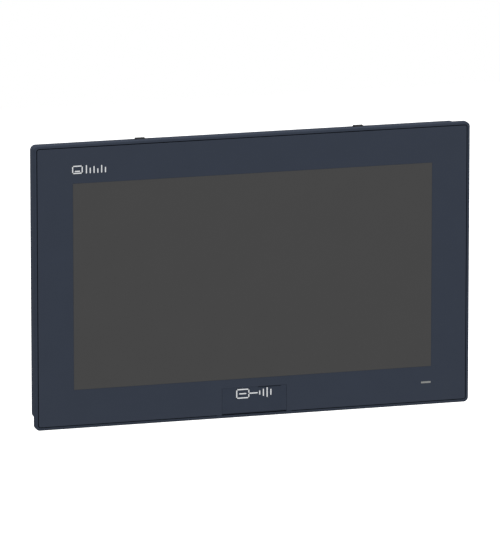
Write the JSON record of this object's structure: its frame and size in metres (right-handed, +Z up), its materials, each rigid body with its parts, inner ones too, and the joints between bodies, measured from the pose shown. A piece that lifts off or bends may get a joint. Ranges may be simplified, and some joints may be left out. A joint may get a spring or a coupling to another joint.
{
  "type": "hmi touch panel",
  "caption": "Flush-front industrial touch panel with a wide screen, a hinged service hatch, rear electronics box and swing clamps for a cabinet cut-out.",
  "frame": {"origin": "centre of the cabinet cut-out, in the plane where the flange meets the front of the cabinet door", "axes": "+X to the right seen from the front, +Y back into the cabinet, +Z up"},
  "size_m": [0.4176, 0.063, 0.2676],
  "materials": {
    "painted_metal": "fine satin powder coat, dark navy grey",
    "border_film": "matt printed film, dark navy grey",
    "window_film": "matt anti-glare film over a dark screen",
    "glass": "dark flat glass",
    "status_light": "frosted light window, unlit",
    "rubber": "black closed-cell rubber",
    "black_plastic": "black moulded plastic",
    "black_metal": "black passivated die-cast zinc",
    "steel": "bright zinc-plated or nickel-plated steel",
    "zinc": "zinc-plated sheet steel",
    "circuit": "green solder mask",
    "white_plastic": "white plastic sheet",
    "clear_plastic": "clear acrylic",
    "aluminium": "bare aluminium"
  },
  "bodies": {
    "housing": {"front_bezel": "painted_metal", "rear_housing": "painted_metal", "rear_cover": "painted_metal", "border_film": "border_film", "window_film": "window_film", "touch_glass": "glass", "lcd_cell": "glass", "status_light_window": "status_light", "glass_tape": "rubber", "panel_gasket": "rubber", "hatch_seal": "rubber", "power_inlet": "black_plastic", "card_socket": "black_plastic", "hatch_pin": "steel", "front_usb_socket": "steel", "display_front_frame": "steel", "backup_battery": "steel", "ethernet_port_1": "steel", "ethernet_port_2": "steel", "usb_port_pair": "steel", "serial_port": "steel", "card_door_pin": "steel", "ground_stud": "steel", "housing_screw_1": "steel", "housing_screw_2": "steel", "housing_screw_3": "steel", "housing_screw_4": "steel", "cover_screw_1": "steel", "cover_screw_2": "steel", "cover_screw_3": "steel", "cover_screw_4": "steel", "display_back_tray": "zinc", "display_bracket_left": "zinc", "display_bracket_right": "zinc", "ground_nut": "zinc", "status_light_board": "circuit", "front_usb_board": "circuit", "touch_controller_board": "circuit", "mainboard": "circuit", "optical_sheets": "white_plastic", "led_strip": "white_plastic", "light_guide_plate": "clear_plastic", "status_light_guide": "clear_plastic", "heat_spreader": "aluminium", "type_plate": "aluminium"},
    "hatch": {"usb_hatch": "painted_metal"},
    "card_door": {"card_door": "black_plastic"},
    "reset_button": {"reset_button": "black_plastic"},
    "clamp_1_bush": {"clamp_bush_1": "steel"},
    "clamp_1_claw": {"clamp_claw_1": "black_metal"},
    "clamp_1_screw": {"clamp_screw_1": "steel"},
    "clamp_2_bush": {"clamp_bush_2": "steel"},
    "clamp_2_claw": {"clamp_claw_2": "black_metal"},
    "clamp_2_screw": {"clamp_screw_2": "steel"},
    "clamp_3_bush": {"clamp_bush_3": "steel"},
    "clamp_3_claw": {"clamp_claw_3": "black_metal"},
    "clamp_3_screw": {"clamp_screw_3": "steel"},
    "clamp_4_bush": {"clamp_bush_4": "steel"},
    "clamp_4_claw": {"clamp_claw_4": "black_metal"},
    "clamp_4_screw": {"clamp_screw_4": "steel"}
  },
  "joints": [
    {"name": "hatch_hinge", "type": "hinge", "parent": "housing", "child": "hatch", "pos_m": [0.0005, -0.0051, -0.12845], "axis": [1, 0, 0], "range_deg": [0, 100]},
    {"name": "card_door_hinge", "type": "hinge", "parent": "housing", "child": "card_door", "pos_m": [0.0905, 0.0485, -0.092], "axis": [1, 0, 0], "range_deg": [0, 100]},
    {"name": "reset_press", "type": "slide", "parent": "housing", "child": "reset_button", "axis": [0, 0, 1], "range_m": [0, 0.0008], "stiffness_N_per_m": 1500, "springref_m": -0.0004},
    {"name": "clamp_1_travel", "type": "slide", "parent": "housing", "child": "clamp_1_bush", "axis": [0, -1, 0], "range_m": [-0.005, 0.0015]},
    {"name": "clamp_1_swing", "type": "hinge", "parent": "clamp_1_bush", "child": "clamp_1_claw", "pos_m": [-0.1045, 0.01, 0.12135], "axis": [0, 1, 0], "range_deg": [0, 90]},
    {"name": "clamp_1_turn", "type": "hinge", "parent": "clamp_1_bush", "child": "clamp_1_screw", "pos_m": [-0.1045, 0.01, 0.12135], "axis": [0, -1, 0], "range_deg": [-2571.4, 771.4]},
    {"name": "clamp_2_travel", "type": "slide", "parent": "housing", "child": "clamp_2_bush", "axis": [0, -1, 0], "range_m": [-0.005, 0.0015]},
    {"name": "clamp_2_swing", "type": "hinge", "parent": "clamp_2_bush", "child": "clamp_2_claw", "pos_m": [0.1045, 0.01, 0.12135], "axis": [0, 1, 0], "range_deg": [0, 90]},
    {"name": "clamp_2_turn", "type": "hinge", "parent": "clamp_2_bush", "child": "clamp_2_screw", "pos_m": [0.1045, 0.01, 0.12135], "axis": [0, -1, 0], "range_deg": [-2571.4, 771.4]},
    {"name": "clamp_3_travel", "type": "slide", "parent": "housing", "child": "clamp_3_bush", "axis": [0, -1, 0], "range_m": [-0.005, 0.0015]},
    {"name": "clamp_3_swing", "type": "hinge", "parent": "clamp_3_bush", "child": "clamp_3_claw", "pos_m": [-0.1045, 0.01, -0.12135], "axis": [0, 1, 0], "range_deg": [0, 90]},
    {"name": "clamp_3_turn", "type": "hinge", "parent": "clamp_3_bush", "child": "clamp_3_screw", "pos_m": [-0.1045, 0.01, -0.12135], "axis": [0, -1, 0], "range_deg": [-2571.4, 771.4]},
    {"name": "clamp_4_travel", "type": "slide", "parent": "housing", "child": "clamp_4_bush", "axis": [0, -1, 0], "range_m": [-0.005, 0.0015]},
    {"name": "clamp_4_swing", "type": "hinge", "parent": "clamp_4_bush", "child": "clamp_4_claw", "pos_m": [0.1045, 0.01, -0.12135], "axis": [0, 1, 0], "range_deg": [0, 90]},
    {"name": "clamp_4_turn", "type": "hinge", "parent": "clamp_4_bush", "child": "clamp_4_screw", "pos_m": [0.1045, 0.01, -0.12135], "axis": [0, -1, 0], "range_deg": [-2571.4, 771.4]}
  ],
  "couplings": [
    {"joint": "clamp_1_turn", "follows": "clamp_1_travel", "rad_per_m": 8976},
    {"joint": "clamp_2_turn", "follows": "clamp_2_travel", "rad_per_m": 8976},
    {"joint": "clamp_3_turn", "follows": "clamp_3_travel", "rad_per_m": 8976},
    {"joint": "clamp_4_turn", "follows": "clamp_4_travel", "rad_per_m": 8976}
  ]
}
